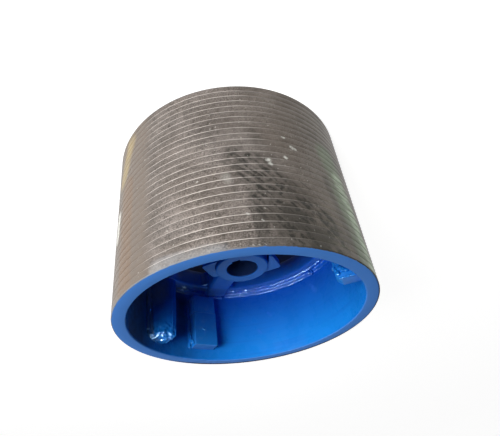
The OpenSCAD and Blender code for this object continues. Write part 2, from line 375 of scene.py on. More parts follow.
def lay_ring_weld(name, side, node):
    """Spin the weld between each two arms, roughen it and join the three lengths."""
    lengths = []
    for turn in arm_turns:
        profile = [(inner_r + (r - inner_r) * MM, side * (half_ring + z * MM)) for r, z in weld_line(side)]
        piece = draw_outline(name, stand(profile, turn + arm_cover))
        spin_outline(piece, ring_arc, round(ring_arc / WELD_STEP))
        lengths.append(piece)
    deselect()
    for piece in lengths:
        piece.select_set(True)
    bpy.context.view_layer.objects.active = lengths[0]
    bpy.ops.object.join()
    weld = bpy.context.object
    weld.name = name
    for vertex in weld.data.vertices:
        p = vertex.co
        reach = math.hypot(p.x, p.y)
        inward = Vector((-p.x, -p.y, 0)) / reach
        depth = (inner_r - reach) / MM
        swell = noise.noise(p * 110 + Vector((0, 0, 7 * side)))
        ripple = noise.noise(p * 300 + Vector((5 * side, 0, 0)))
        if depth > 7.5:
            vertex.co += inward * (2.2 * MM * swell)
            vertex.co.z += side * MM * (1.1 * swell + 0.7 * ripple - 0.1)
        elif depth > -0.3:
            vertex.co += inward * MM * (0.3 * swell)
            vertex.co.z += side * MM * (1.4 * swell + 0.5 * ripple)
    smooth(weld, 60)
    finish_piece(weld, "painted_weld", node)


lay_ring_weld("ring_bead_top", 1, "ring_weld_top")
lay_ring_weld("ring_bead_bottom", -1, "ring_weld_bottom")

# %% [markdown]
# ## The hub
#
# The hub is a turned barrel with a keyed bore. Its outline with the keyway is right in
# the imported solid, so a copy of it is beveled. Two lugs are welded across each of its
# ends. The bevel is wider on the lugs, because they were cut from plate by torch.

# %% Bevel the hub and its lugs
hub = copy_solid("hub_tube", "hub_barrel")
bevel_edges(hub, 0.9 * MM, 3, 40)
smooth(hub, 35)
finish_piece(hub, "blue_paint", "hub_barrel")

for node in ("lug_1_top", "lug_2_top", "lug_1_bottom", "lug_2_bottom"):
    lug = copy_solid(node + "_plate", node)
    bevel_edges(lug, 1.3 * MM, 3, 40)
    smooth(lug, 40)
    finish_piece(lug, "blue_paint", node)

# %% [markdown]
# ## The arms
#
# Each arm is a forged bar that tapers from the hub to the ring and then runs level to
# the shell. It starts as a box. A cut with bisect where the taper ends gives a row of
# points to pull, the ends are scaled to their heights, and the long edges are beveled.
# The first arm is copied by turning a copy of its mesh round the axis.

# %% Shape one arm and turn two copies of it
ARM_ROOT_HALF = 37 * MM
ARM_TIP_HALF = 22 * MM
ARM_EDGE = 7 * MM


def shape_arm():
    """Model the arm along +X."""
    start = hub_r - 3 * MM
    end = inner_r + 0.6 * MM
    deselect()
    bpy.ops.mesh.primitive_cube_add(size=1, location=((start + end) / 2, 0, 0))
    piece = bpy.context.object
    piece.name = "arm_bar"
    piece.scale = (end - start, 2 * half_arm, 2 * ARM_TIP_HALF)
    settle(piece)
    bpy.ops.object.mode_set(mode="EDIT")
    for cut in (hub_r + 18 * MM, hub_r + 45 * MM, hub_r + 75 * MM, ring_r - 6 * MM, ring_r):
        bpy.ops.mesh.select_all(action="SELECT")
        bpy.ops.mesh.bisect(plane_co=(cut, 0, 0), plane_no=(1, 0, 0))
    bpy.ops.object.mode_set(mode="OBJECT")
    for vertex in piece.data.vertices:
        x = vertex.co.x
        share = max(0.0, (ring_r - x) / (ring_r - hub_r))
        half = ARM_TIP_HALF + (ARM_ROOT_HALF - ARM_TIP_HALF) * share
        vertex.co.z = math.copysign(half, vertex.co.z)
    for edge in piece.data.edges:
        a, b = (piece.data.vertices[i].co for i in edge.vertices)
        edge.select = abs(a.x - b.x) > 1 * MM and abs(a.y) > 1 * MM and abs(a.y - b.y) < 1 * MM
    bpy.ops.object.mode_set(mode="EDIT")
    bpy.ops.mesh.select_mode(type="EDGE")
    bpy.ops.mesh.bevel(offset=ARM_EDGE, segments=6, affect="EDGES")
    bpy.ops.object.mode_set(mode="OBJECT")
    return piece


arm_one = shape_arm()
print("arm corners", len(arm_one.data.vertices))


def turned_copy(piece, name, turn):
    """Copy a piece with its own mesh, turned round the axis."""
    copy = bpy.data.objects.new(name, piece.data.copy())
    bpy.context.collection.objects.link(copy)
    copy.data.transform(Matrix.Rotation(turn, 4, "Z"))
    return copy


for number, turn in enumerate(arm_turns, 1):
    arm = turned_copy(arm_one, f"arm_bar_{number}", turn)
    roughen(arm, 0.03, 0.6 * MM)
    smooth(arm, 40)
    finish_piece(arm, "blue_paint", f"arm_{number}")
bpy.data.objects.remove(arm_one)

# %% [markdown]
# ## Fillet welds
#
# Where arms, lugs and bars meet other pieces, weld fills the corner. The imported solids
# hold that fill as clean fillets. A remesh turns a copy of each into an even skin of
# small faces, and two patterns, one coarse and one fine, then make it lumpy.

# %% Turn the fillets into lumpy weld
def weld_copy(name, coarse, fine, *nodes):
    """Make lumpy weld out of the fillets of some nodes."""
    weld = copy_solid(name, *nodes)
    apply_modifier(weld, "REMESH", mode="VOXEL", voxel_size=1.1 * MM)
    roughen(weld, 0.009, coarse * MM)
    roughen(weld, 0.003, fine * MM, "STUCCI")
    apply_modifier(weld, "SMOOTH", factor=0.5, iterations=2)
    smooth(weld, 60)
    finish_piece(weld, "painted_weld", *nodes)
    return weld


for number in (1, 2, 3):
    weld_copy(f"arm_{number}_root_bead", 1.6, 0.5, f"arm_{number}_hub_weld")
    weld_copy(f"arm_{number}_tip_bead", 1.6, 0.5, f"arm_{number}_ring_weld")
weld_copy("lug_bead_top", 1.2, 0.4, "lug_welds_top")
weld_copy("lug_bead_bottom", 1.2, 0.4, "lug_welds_bottom")

# %% [markdown]
# Some weld is a run of lumps laid by hand: a seam, a tack, a drop of spatter. A run is a
# row of small balls of changing size that overlap, remeshed into one skin. The sizes
# come from noise at each place. Its seed is set, because without one the vector noise
# would differ each time that this file runs.

# %% Helper to lay a run of weld lumps
NOISE_SEED = 1
noise.seed_set(NOISE_SEED)


def point_at(turn, reach, height):
    """A point from its direction in degrees, and its distance and height in millimetres."""
    angle = math.radians(turn)
    return Vector((reach * math.cos(angle), reach * math.sin(angle), height)) * MM


def lay_run(name, runs):
    """Lay runs of lumps, each from one point to another with a radius in millimetres."""
    lumps = []
    for start, end, radius in runs:
        count = max(1, round((end - start).length / (0.8 * radius * MM)))
        for i in range(count):
            place = start.lerp(end, i / max(1, count - 1))
            wobble = Vector(noise.noise_vector(place * 700))
            deselect()
            bpy.ops.mesh.primitive_ico_sphere_add(
                subdivisions=2, radius=radius * MM * (1 + 0.55 * wobble.x),
                location=place + wobble * radius * MM * 0.45,
            )
            lump = bpy.context.object
            settle(lump)
            lumps.append(lump)
    deselect()
    for lump in lumps:
        lump.select_set(True)
    bpy.context.view_layer.objects.active = lumps[0]
    bpy.ops.object.join()
    run = bpy.context.object
    run.name = name
    apply_modifier(run, "REMESH", mode="VOXEL", voxel_size=0.6 * MM)
    apply_modifier(run, "SMOOTH", factor=0.5, iterations=2)
    smooth(run, 60)
    finish_piece(run, "painted_weld")
    return run


# %% [markdown]
# ## Balance bars
#
# Three short bars are welded inside the shell towards its open end, so that the drum
# runs without shaking. None is a clean bar. The flat one was built from two lengths with
# a small step between them. The round one ends in a rough nose of weld. The narrow one
# carries lumps of weld on its side.
#
# The flat bar's solid is cut in two with bisect, and the outer length is moved a little.

# %% Build the flat bar from two lengths
FLAT_STEP = 1.3 * MM
flat_low, flat_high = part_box("flat_balance_bar")
flat_turn = heading("flat_balance_bar")
flat_cut = flat_low[2] + 0.35 * (flat_high[2] - flat_low[2])
across = Vector((-math.sin(flat_turn), math.cos(flat_turn), 0))
lengths = []
for upper in (False, True):
    part = copy_solid("flat_bar", "flat_balance_bar")
    bpy.ops.object.mode_set(mode="EDIT")
    bpy.ops.mesh.select_all(action="SELECT")
    bpy.ops.mesh.bisect(plane_co=(0, 0, flat_cut), plane_no=(0, 0, 1), use_fill=True,
                        clear_inner=upper, clear_outer=not upper)
    bpy.ops.object.mode_set(mode="OBJECT")
    if upper:
        part.data.transform(Matrix.Translation(across * FLAT_STEP))
    bevel_edges(part, 1.2 * MM, 3, 35)
    roughen(part, 0.02, 0.5 * MM)
    lengths.append(part)
deselect()
for part in lengths:
    part.select_set(True)
bpy.context.view_layer.objects.active = lengths[0]
bpy.ops.object.join()
flat_bar = bpy.context.object
flat_bar.name = "flat_bar"
smooth(flat_bar, 40)
finish_piece(flat_bar, "blue_paint", "flat_balance_bar")
weld_copy("flat_bar_bead", 2.4, 0.8, "flat_bar_weld")

# %% [markdown]
# The round bar is remeshed, so that its nose has points to push about. The push grows
# towards the nose: the body is almost true, and the end is a crust of weld.

# %% Roughen the round bar's nose
round_low, round_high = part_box("round_balance_bar")
round_bar = copy_solid("round_bar", "round_balance_bar")
apply_modifier(round_bar, "REMESH", mode="VOXEL", voxel_size=1.3 * MM)
for vertex in round_bar.data.vertices:
    p = vertex.co
    share = max(0.0, min(1.0, (p.z - round_high[2] + 34 * MM) / (26 * MM)))
    coarse = noise.noise(p * 80)
    fine = noise.noise(p * 210)
    vertex.co += vertex.normal * MM * (0.3 * coarse + share * (2.6 * coarse + 2.4 * fine - 0.3))
apply_modifier(round_bar, "SMOOTH", factor=0.5, iterations=1)
smooth(round_bar, 60)
finish_piece(round_bar, "painted_weld", "round_balance_bar")
weld_copy("round_bar_bead", 2.4, 0.8, "round_bar_weld")

narrow_bar = copy_solid("narrow_bar", "narrow_balance_bar")
bevel_edges(narrow_bar, 1.4 * MM, 3, 35)
smooth(narrow_bar, 40)
finish_piece(narrow_bar, "blue_paint", "narrow_balance_bar")
weld_copy("narrow_bar_bead", 2.6, 0.9, "narrow_bar_weld")

# %% [markdown]
# Last come the loose lumps of weld: a seam across the flat bar, tacks on its corner, a
# run up each edge of the round bar's flat side, blobs on the narrow bar, a big tack
# where the ring's weld was started, and a few drops of spatter.

# %% Lay seams, tacks and spatter
def bar_point(turn, reach, side, height):
    """A point by a bar: its reach along the bar's direction, its offset to one side and its height."""
    angle = math.radians(turn)
    x = reach * math.cos(angle) - side * math.sin(angle)
    y = reach * math.sin(angle) + side * math.cos(angle)
    return Vector((x, y, height)) * MM


FLAT, ROUND, NARROW = 59, 32, 196
lay_run("flat_bar_tacks", (
    (bar_point(FLAT, 156.4, -19, 67), bar_point(FLAT, 156.5, 4, 66), 0.7),
    (bar_point(FLAT, 155.9, -6, 100), bar_point(FLAT, 155.9, -2, 102), 1.5),
    (bar_point(FLAT, 156.0, -1, 106), bar_point(FLAT, 156.0, 0, 107), 0.8),
    (bar_point(FLAT, 172, -23, 108), bar_point(FLAT, 166, -24, 124), 2.4),
    (bar_point(FLAT, 165, -22, 120), bar_point(FLAT, 161, -22, 127), 1.6),
    (bar_point(FLAT, 157.5, 20, 129), bar_point(FLAT, 158.5, 22, 129), 1.2),
))
lay_run("round_bar_edge_runs", (
    (bar_point(ROUND, 145.6, -8.6, 34), bar_point(ROUND, 145.8, -9.0, 116), 1.3),
    (bar_point(ROUND, 145.8, -1.0, 30), bar_point(ROUND, 145.8, -1.2, 129), 0.9),
))
lay_run("narrow_bar_blobs", (
    (bar_point(NARROW, 143, 12.2, 112), bar_point(NARROW, 148, 12.8, 121), 3.2),
    (bar_point(NARROW, 153, 12.6, 114), bar_point(NARROW, 161, 12.8, 120), 3.6),
    (bar_point(NARROW, 147, 12.2, 104), bar_point(NARROW, 152, 12.2, 107), 2.4),
    (bar_point(NARROW, 147, 12.3, 129.2), bar_point(NARROW, 170, 12.3, 129.2), 1.5),
))
lay_run("ring_tack", (
    (point_at(135.0, 175, 20), point_at(138.5, 175.5, 22), 3.6),
    (point_at(137, 172, 19.5), point_at(138, 176, 25), 2.6),
))
lay_run("weld_spatter", tuple(
    (point_at(turn, reach, height), point_at(turn + 0.3, reach, height + 0.3), size)
    for turn, reach, height, size in (
        (82.5, 105.2, 28.0, 1.5), (77.0, 46.0, 37.0, 1.6), (62.0, 47.0, 37.5, 1.4),
        (120.0, 179.9, 34.0, 0.8), (127.5, 179.9, 41.0, 0.9), (131.0, 179.9, 37.0, 0.7),
        (99.0, 179.9, 58.0, 0.7), (112.0, 165.0, 17.2, 0.9), (250.0, 179.9, 36.0, 0.9),
        (305.0, 166.0, 17.3, 0.9), (20.0, 166.0, 17.3, 1.0), (52.0, 179.9, 128.0, 1.0),
        (40.5, 179.9, 124.0, 1.1), (225.0, 179.9, 52.0, 0.8), (330.0, 179.9, 44.0, 0.9),
    )
))
# %% [markdown]
# ## Materials
#
# Nothing here uses a picture. Each finish is built from patterns in space, so it has no
# seam and also holds from the side that the camera doesn't see. A small helper adds a
# node and fills its inputs, by a number or by a link from another node.

# %% Helpers to build node trees
def put(tree, kind, values=None, **settings):
    """Add a node, change its settings, and fill or link its inputs."""
    node = tree.nodes.new(kind)
    for key, value in settings.items():
        setattr(node, key, value)
    for key, value in (values or {}).items():
        if isinstance(value, bpy.types.NodeSocket):
            tree.links.new(value, node.inputs[key])
        else:
            node.inputs[key].default_value = value
    return node


def calc(tree, operation, *values, clamp=False):
    """Do a sum with numbers or links and return the result."""
    filled = dict(enumerate(values))
    return put(tree, "ShaderNodeMath", filled, operation=operation, use_clamp=clamp).outputs[0]


def vector_calc(tree, operation, *values):
    """Do a sum with vectors and return the result."""
    return put(tree, "ShaderNodeVectorMath", dict(enumerate(values)), operation=operation).outputs[0]


def mix_colours(tree, share, first, second, blend="MIX"):
    """Mix two colours by a share from 0 to 1."""
    node = put(tree, "ShaderNodeMix", {0: share, 6: first, 7: second}, data_type="RGBA", blend_type=blend)
    return node.outputs[2]


def spread(tree, value, low, high, to_low=0.0, to_high=1.0):
    """Stretch the range from low to high to a new range, and stop at its ends."""
    filled = {0: value, 1: low, 2: high, 3: to_low, 4: to_high}
    return put(tree, "ShaderNodeMapRange", filled).outputs[0]


def new_group(name, inputs, outputs):
    """Make an empty node group with named sockets."""
    group = bpy.data.node_groups.new(name, "ShaderNodeTree")
    for label, kind, value in inputs:
        socket = group.interface.new_socket(label, in_out="INPUT", socket_type=kind)
        socket.default_value = value
    for label, kind in outputs:
        group.interface.new_socket(label, in_out="OUTPUT", socket_type=kind)
    start = group.nodes.new("NodeGroupInput")
    end = group.nodes.new("NodeGroupOutput")
    return group, start.outputs, end.inputs


def place_group(tree, group, values):
    """Place a node group, fill or link its inputs, and return its outputs."""
    node = tree.nodes.new("ShaderNodeGroup")
    node.node_tree = group
    for key, value in values.items():
        if isinstance(value, bpy.types.NodeSocket):
            tree.links.new(value, node.inputs[key])
        else:
            node.inputs[key].default_value = value
    return node.outputs


FLOAT = "NodeSocketFloat"
VECTOR = "NodeSocketVector"

# %% [markdown]
# Four effects are shared by more than one finish, so each is a node group, built once.
# The first gives a point's distance from the axis and its height. All wear and paint
# limits on a turned part follow those two.

# %% Group: distance from the axis and height
around_group, given, out = new_group("Around the axis", [("Point", VECTOR, (0, 0, 0))],
                                     [("Reach", FLOAT), ("Height", FLOAT)])
parts = put(around_group, "ShaderNodeSeparateXYZ", {0: given["Point"]})
flat_point = put(around_group, "ShaderNodeCombineXYZ", {0: parts.outputs[0], 1: parts.outputs[1]})
length = put(around_group, "ShaderNodeVectorMath", {0: flat_point.outputs[0]}, operation="LENGTH")
around_group.links.new(length.outputs["Value"], out["Reach"])
around_group.links.new(parts.outputs[2], out["Height"])

# %% [markdown]
# The second is a cloudy mask of a chosen scale, cut off below one level and full above
# another. It makes blotches, grain, dust and chips.

# %% Group: blotches
blotch_group, given, out = new_group(
    "Blotches",
    [("Point", VECTOR, (0, 0, 0)), ("Scale", FLOAT, 20.0), ("Low", FLOAT, 0.4), ("High", FLOAT, 0.6),
     ("Detail", FLOAT, 3.0)],
    [("Mask", FLOAT)],
)
cloud = put(blotch_group, "ShaderNodeTexNoise",
            {"Vector": given["Point"], "Scale": given["Scale"], "Detail": given["Detail"]})
cut = spread(blotch_group, cloud.outputs[0], given["Low"], given["High"])
blotch_group.links.new(cut, out["Mask"])

# %% [markdown]
# The third is a stroke: a soft mark from one point to another, for a scuff, scratch or
# run of dust. It measures the distance to the line between them, and breaks the mark
# up with a cloud.

# %% Group: strokes
stroke_group, given, out = new_group(
    "Stroke",
    [("Point", VECTOR, (0, 0, 0)), ("Start", VECTOR, (0, 0, 0)), ("End", VECTOR, (0, 0, 1)),
     ("Width", FLOAT, 0.01), ("Break", FLOAT, 60.0), ("Level", FLOAT, 0.5), ("Soft", FLOAT, 0.12)],
    [("Mask", FLOAT)],
)
run = vector_calc(stroke_group, "SUBTRACT", given["End"], given["Start"])
step = vector_calc(stroke_group, "SUBTRACT", given["Point"], given["Start"])
run_step = put(stroke_group, "ShaderNodeVectorMath", {0: run, 1: step}, operation="DOT_PRODUCT").outputs["Value"]
run_run = put(stroke_group, "ShaderNodeVectorMath", {0: run, 1: run}, operation="DOT_PRODUCT").outputs["Value"]
share = calc(stroke_group, "DIVIDE", run_step, run_run, clamp=True)
foot = put(stroke_group, "ShaderNodeVectorMath", {0: run, "Scale": share}, operation="SCALE").outputs[0]
off = put(stroke_group, "ShaderNodeVectorMath", {0: step, 1: foot}, operation="DISTANCE").outputs["Value"]
near = spread(stroke_group, calc(stroke_group, "DIVIDE", off, given["Width"]), 1.0, 0.2)
cloud = put(stroke_group, "ShaderNodeTexNoise", {"Vector": given["Point"], "Scale": given["Break"], "Detail": 4.0})
reach = calc(stroke_group, "MULTIPLY", calc(stroke_group, "SUBTRACT", near, given["Level"]), 0.35)
half_soft = calc(stroke_group, "MULTIPLY", given["Soft"], 0.5)
mask = spread(stroke_group, calc(stroke_group, "ADD", cloud.outputs[0], reach),
              calc(stroke_group, "SUBTRACT", 0.58, half_soft), calc(stroke_group, "ADD", 0.58, half_soft))
mask = calc(stroke_group, "MULTIPLY", mask, spread(stroke_group, near, 0.0, calc(stroke_group, "ADD", half_soft, 0.2)))
stroke_group.links.new(mask, out["Mask"])

# %% [markdown]
# The fourth is the enamel's film. Sprayed enamel isn't even: it has an orange peel of
# a few millimetres, a slow swell where it ran, and patches that dried duller. The group
# gives a shade for the colour, a roughness and a height for the bump.

# %% Group: enamel film
film_group, given, out = new_group(
    "Enamel film",
    [("Point", VECTOR, (0, 0, 0)), ("Gloss", FLOAT, 0.25), ("Peel", FLOAT, 1.0)],
    [("Shade", FLOAT), ("Roughness", FLOAT), ("Height", FLOAT)],
)
slow = put(film_group, "ShaderNodeTexNoise", {"Vector": given["Point"], "Scale": 9.0, "Detail": 2.0}).outputs[0]
patch = put(film_group, "ShaderNodeTexNoise", {"Vector": given["Point"], "Scale": 60.0, "Detail": 4.0}).outputs[0]
peel = put(film_group, "ShaderNodeTexNoise", {"Vector": given["Point"], "Scale": 420.0, "Detail": 2.0}).outputs[0]
shade = calc(film_group, "ADD", calc(film_group, "MULTIPLY", slow, 0.85), calc(film_group, "MULTIPLY", patch, 0.15))
dull = spread(film_group, patch, 0.35, 0.7, -0.05, 0.12)
film_group.links.new(spread(film_group, shade, 0.35, 0.65), out["Shade"])
film_group.links.new(calc(film_group, "ADD", given["Gloss"], dull), out["Roughness"])
height = calc(film_group, "ADD", calc(film_group, "MULTIPLY", peel, calc(film_group, "MULTIPLY", given["Peel"], 0.25)),
              calc(film_group, "MULTIPLY", slow, 2.0))
film_group.links.new(height, out["Height"])
print("node groups", [group.name for group in bpy.data.node_groups])


def new_material(name):
    """Make a material and return it with its tree, its shader and its Object coordinates."""
    material = bpy.data.materials.new(name)
    material.use_nodes = True
    tree = material.node_tree
    shader = tree.nodes["Principled BSDF"]
    point = put(tree, "ShaderNodeTexCoord").outputs["Object"]
    return material, tree, shader, point


# %% [markdown]
# ## Blue enamel
#
# The welded inside was sprayed with glossy blue enamel. The colour is deep where the film is thick and a little
# lighter where it is less so. Dust dulls it in patches. The colour also holds painted light: it is lighter towards the
# open ends and on faces across the axis, and near black as painted shade in the lower half and beside the bars.

# %% Make the enamel
BLUE_DEEP = (0.006, 0.105, 0.560, 1)
BLUE_LIGHT = (0.008, 0.140, 0.680, 1)
RIM_DEEP = (0.006, 0.180, 0.620, 1)
RIM_LIGHT = (0.009, 0.225, 0.740, 1)
DUST = (0.35, 0.36, 0.38, 1)
OVERSPRAY = (0.045, 0.210, 0.800, 1)
# Lighter blue, painted as light on faces across the axis, such as the ends and the tops of the hub and ring
LIT_FACE_BLUE = (0.068, 0.228, 0.670, 1)
# Near black, painted as shade in the lower half, beside the bars and on the far outer edge of the end
SHADE_BLACK = (0.007, 0.006, 0.016, 1)
BORE_DARK = (0.012, 0.035, 0.130, 1)


def blue_lit_towards_ends(tree, shade, height):
    """Blue painted lighter towards both open ends: painted light from the open mouths."""
    deep_in = mix_colours(tree, shade, BLUE_DEEP, BLUE_LIGHT)
    near_end = mix_colours(tree, shade, RIM_DEEP, RIM_LIGHT)
    share = spread(tree, calc(tree, "ABSOLUTE", height), 0.25 * half_face, 0.85 * half_face)
    return mix_colours(tree, share, deep_in, near_end)


def inside_at(turn, reach, height):
    """A point inside, from its direction in degrees and its reach and height in millimetres."""
    angle = math.radians(turn)
    return (reach * MM * math.cos(angle), reach * MM * math.sin(angle), height * MM)


# Places painted dark as shade: direction, reach, lowest and highest point, width, share, and the reach from which it
# counts, to keep the mark on the wall and off the bars
SHADED_PLACES = (
    (8, 180, 5, 128, 84, 0.97, 168),
    (43, 180, 5, 92, 36, 0.92, 150),
    (21, 168, 0, 55, 40, 0.85, 140),
    (59, 156, 20, 140, 62, 0.34, 140),
    (31, 180, 112, 150, 44, 0.45, 176),
    (50, 180, 132, 152, 52, 0.42, 176),
)


def painted_shade_share(tree, point, around):
    """Share of painted shade: darker in the lower half and beside the bars, where little light reaches."""
    cloud = place_group(tree, blotch_group, {"Point": point, "Scale": 25.0, "Low": 0.25, "High": 0.75})["Mask"]
    low = spread(tree, around["Height"], -0.2 * half_ring, -1.3 * half_ring)
    for turn, reach, bottom, top, width, cover, from_reach in SHADED_PLACES:
        shadowed = place_group(tree, stroke_group, {
            "Point": point, "Start": inside_at(turn, reach, bottom), "End": inside_at(turn, reach, top),
            "Width": width * MM, "Break": 20.0, "Level": -0.3, "Soft": 0.8,
        })["Mask"]
        below_end = spread(tree, around["Height"], half_face - 1 * MM, half_face - 4 * MM, 0.0, cover)
        far_out = spread(tree, around["Reach"], from_reach * MM, (from_reach + 3) * MM)
        shadowed = calc(tree, "MULTIPLY", calc(tree, "MULTIPLY", shadowed, below_end), far_out)
        low = calc(tree, "MAXIMUM", low, shadowed)
    return calc(tree, "MULTIPLY", low, spread(tree, cloud, 0.0, 1.0, 0.7, 1.0))


def blue_enamel(name, gloss, peel, bump, dust, shine, lit_share):
    """Make an enamel with a given roughness, peel, bump height, dust, shine and share of painted light on faces across
    the axis.
    """
    material, tree, shader, point = new_material(name)
    film = place_group(tree, film_group, {"Point": point, "Gloss": gloss, "Peel": peel})
    around = place_group(tree, around_group, {"Point": point})
    # Painted light: the blue is lighter towards the open ends.
    colour = blue_lit_towards_ends(tree, film["Shade"], around["Height"])
    # Faces across the axis are painted lighter: painted light on them.
    facing = put(tree, "ShaderNodeSeparateXYZ", {0: put(tree, "ShaderNodeNewGeometry").outputs["Normal"]}).outputs[2]
    lit_faces = spread(tree, calc(tree, "ABSOLUTE", facing), 0.8, 0.97, 0.0, lit_share)
    colour = mix_colours(tree, lit_faces, colour, LIT_FACE_BLUE)
    # Painted shade: near black in the lower half and beside the bars.
    shade_share = painted_shade_share(tree, point, around)
    colour = mix_colours(tree, shade_share, colour, SHADE_BLACK)
    # The bore, away from its ends, is coloured nearly black blue.
    bore = spread(tree, around["Reach"], bore_r + 5.5 * MM, bore_r + 4.5 * MM)
    wall = spread(tree, calc(tree, "ABSOLUTE", around["Height"]), half_hub - 0.6 * MM, half_hub - 1.2 * MM)
    colour = mix_colours(tree, calc(tree, "MULTIPLY", bore, wall), colour, BORE_DARK)
    dusty = place_group(tree, blotch_group, {"Point": point, "Scale": 90.0, "Low": 0.55, "High": 0.75})["Mask"]
    colour = mix_colours(tree, calc(tree, "MULTIPLY", dusty, dust), colour, DUST)
    tree.links.new(colour, shader.inputs["Base Color"])
    dull = calc(tree, "MAXIMUM", film["Roughness"], calc(tree, "MULTIPLY", shade_share, 0.7))
    tree.links.new(dull, shader.inputs["Roughness"])
    shader.inputs["Specular IOR Level"].default_value = shine
    ripple = put(tree, "ShaderNodeBump", {"Height": film["Height"], "Strength": 1.0, "Distance": bump})
    tree.links.new(ripple.outputs[0], shader.inputs["Normal"])
    return material


enamel = blue_enamel("blue_enamel", 0.42, 1.0, 0.0006, 0.05, 0.15, 0.6)
weld_enamel = blue_enamel("weld_enamel", 0.16, 1.2, 0.0007, 0.04, 0.09, 0.0)

# %% [markdown]
# ## Turned steel and its painted ends
#
# The belt face is bare steel that has lain outdoors: grey-brown, with the fine grain of the turning tool, bright
# groove edges that are partly a painted highlight, dark scuffs and specks of lime. Its edges also carry a painted
# glint, a painted sheen and a painted green reflection. The same piece is blue on its ends and inside. One material
# does both: the distance from the axis says where the enamel ends, and a cloud chips its edge.

# %% Make the shell's finish
STEEL_DARK = (0.040, 0.035, 0.031, 1)
STEEL_LIGHT = (0.190, 0.166, 0.153, 1)
STEEL_BROWN = (0.080, 0.063, 0.050, 1)
GROOVE_METAL_AND_HIGHLIGHT = (0.47, 0.435, 0.41, 1)
SCUFF = (0.022, 0.021, 0.018, 1)
SIDE_BAND_TONE = (0.138, 0.114, 0.096, 1)
GROOVE_SHADE_LIFT = (0.185, 0.155, 0.133, 1)
TAN_YELLOW = (0.30, 0.235, 0.125, 1)
CLAY = (0.165, 0.108, 0.070, 1)
GREEN_REFLECTION = (0.130, 0.175, 0.115, 1)
LIME = (0.66, 0.67, 0.63, 1)
PALE_GREEN = (0.42, 0.50, 0.38, 1)
PALE_SHEEN = (0.34, 0.42, 0.52, 1)


def on_face(turn, height):
    """A point on the belt face, from its direction in degrees and its height in millimetres."""
    angle = math.radians(turn)
    return (outer_r * math.cos(angle), outer_r * math.sin(angle), height * MM)


shell_finish, tree, shader, point = new_material("shell_finish")
around = place_group(tree, around_group, {"Point": point})

# Steel: stretched grain, blotches and fine speckle
stretched = vector_calc(tree, "MULTIPLY", point, (35.0, 35.0, 900.0))
lines = put(tree, "ShaderNodeTexNoise", {"Vector": stretched, "Scale": 1.0, "Detail": 3.0}).outputs[0]
blotches = place_group(tree, blotch_group, {"Point": point, "Scale": 22.0, "Low": 0.3, "High": 0.7})["Mask"]
small_blotches = place_group(tree, blotch_group, {"Point": point, "Scale": 130.0, "Low": 0.3, "High": 0.7})["Mask"]
speckle = put(tree, "ShaderNodeTexNoise", {"Vector": point, "Scale": 520.0, "Detail": 2.0}).outputs[0]
grain_share = place_group(tree, blotch_group, {"Point": point, "Scale": 11.0, "Low": 0.35, "High": 0.6})["Mask"]
grain = calc(tree, "MULTIPLY", calc(tree, "SUBTRACT", spread(tree, speckle, 0.3, 0.7), 0.5),
             spread(tree, grain_share, 0.0, 1.0, 0.2, 0.55))
tone = calc(tree, "ADD", calc(tree, "MULTIPLY", lines, 0.35), calc(tree, "MULTIPLY", blotches, 0.25))
tone = calc(tree, "ADD", tone, calc(tree, "MULTIPLY", small_blotches, 0.18))
steel = mix_colours(tree, spread(tree, calc(tree, "ADD", tone, grain), 0.1, 0.62), STEEL_DARK, STEEL_LIGHT)

tint = place_group(tree, blotch_group, {"Point": point, "Scale": 13.0, "Low": 0.4, "High": 0.7, "Detail": 5.0})["Mask"]
steel = mix_colours(tree, calc(tree, "MULTIPLY", tint, 0.35), steel, STEEL_BROWN)

# Bright lines in the grooves, partly bare metal and partly a painted highlight on their lips, dimmed and browner in
# one broad patch
deep = spread(tree, around["Reach"], outer_r - 0.15 * MM, outer_r - 0.4 * MM)
groove_dim_patch = place_group(tree, stroke_group, {
    "Point": point, "Start": on_face(-124, -130), "End": on_face(-127, 140),
    "Width": 102 * MM, "Break": 14.0, "Level": 0.0, "Soft": 0.5,
})["Mask"]
steel = mix_colours(tree, calc(tree, "MULTIPLY", groove_dim_patch, 0.4), steel, STEEL_BROWN)
clean = place_group(tree, blotch_group, {"Point": point, "Scale": 16.0, "Low": 0.3, "High": 0.6})["Mask"]
clean = calc(tree, "MULTIPLY", spread(tree, clean, 0.0, 1.0, 0.4, 0.9), spread(tree, groove_dim_patch, 0.0, 1.0, 1.0, 0.24))
steel = mix_colours(tree, calc(tree, "MULTIPLY", deep, clean), steel, GROOVE_METAL_AND_HIGHLIGHT)

# Scuffs dragged slantwise across the face: fine streaks in one broad band
axes = put(tree, "ShaderNodeSeparateXYZ", {0: point}).outputs
girth = calc(tree, "MULTIPLY", calc(tree, "ARCTAN2", axes[1], axes[0]), outer_r)
along = calc(tree, "MULTIPLY", calc(tree, "SUBTRACT", axes[2], girth), 0.7)
across = calc(tree, "MULTIPLY", calc(tree, "ADD", axes[2], girth), 0.7)
dragged = put(tree, "ShaderNodeCombineXYZ", {0: calc(tree, "MULTIPLY", along, 30.0), 1: calc(tree, "MULTIPLY", across, 190.0)})
streaks = put(tree, "ShaderNodeTexNoise", {"Vector": dragged.outputs[0], "Scale": 1.0, "Detail": 4.0}).outputs[0]
mottle = place_group(tree, blotch_group, {"Point": point, "Scale": 125.0, "Low": 0.4, "High": 0.56, "Detail": 6.0})["Mask"]
streaks = calc(tree, "MULTIPLY", spread(tree, streaks, 0.36, 0.58, 0.25, 1.25), spread(tree, speckle, 0.25, 0.6, 0.45, 1.0))
streaks = calc(tree, "MULTIPLY", streaks, spread(tree, mottle, 0.0, 1.0, 0.4, 1.05))

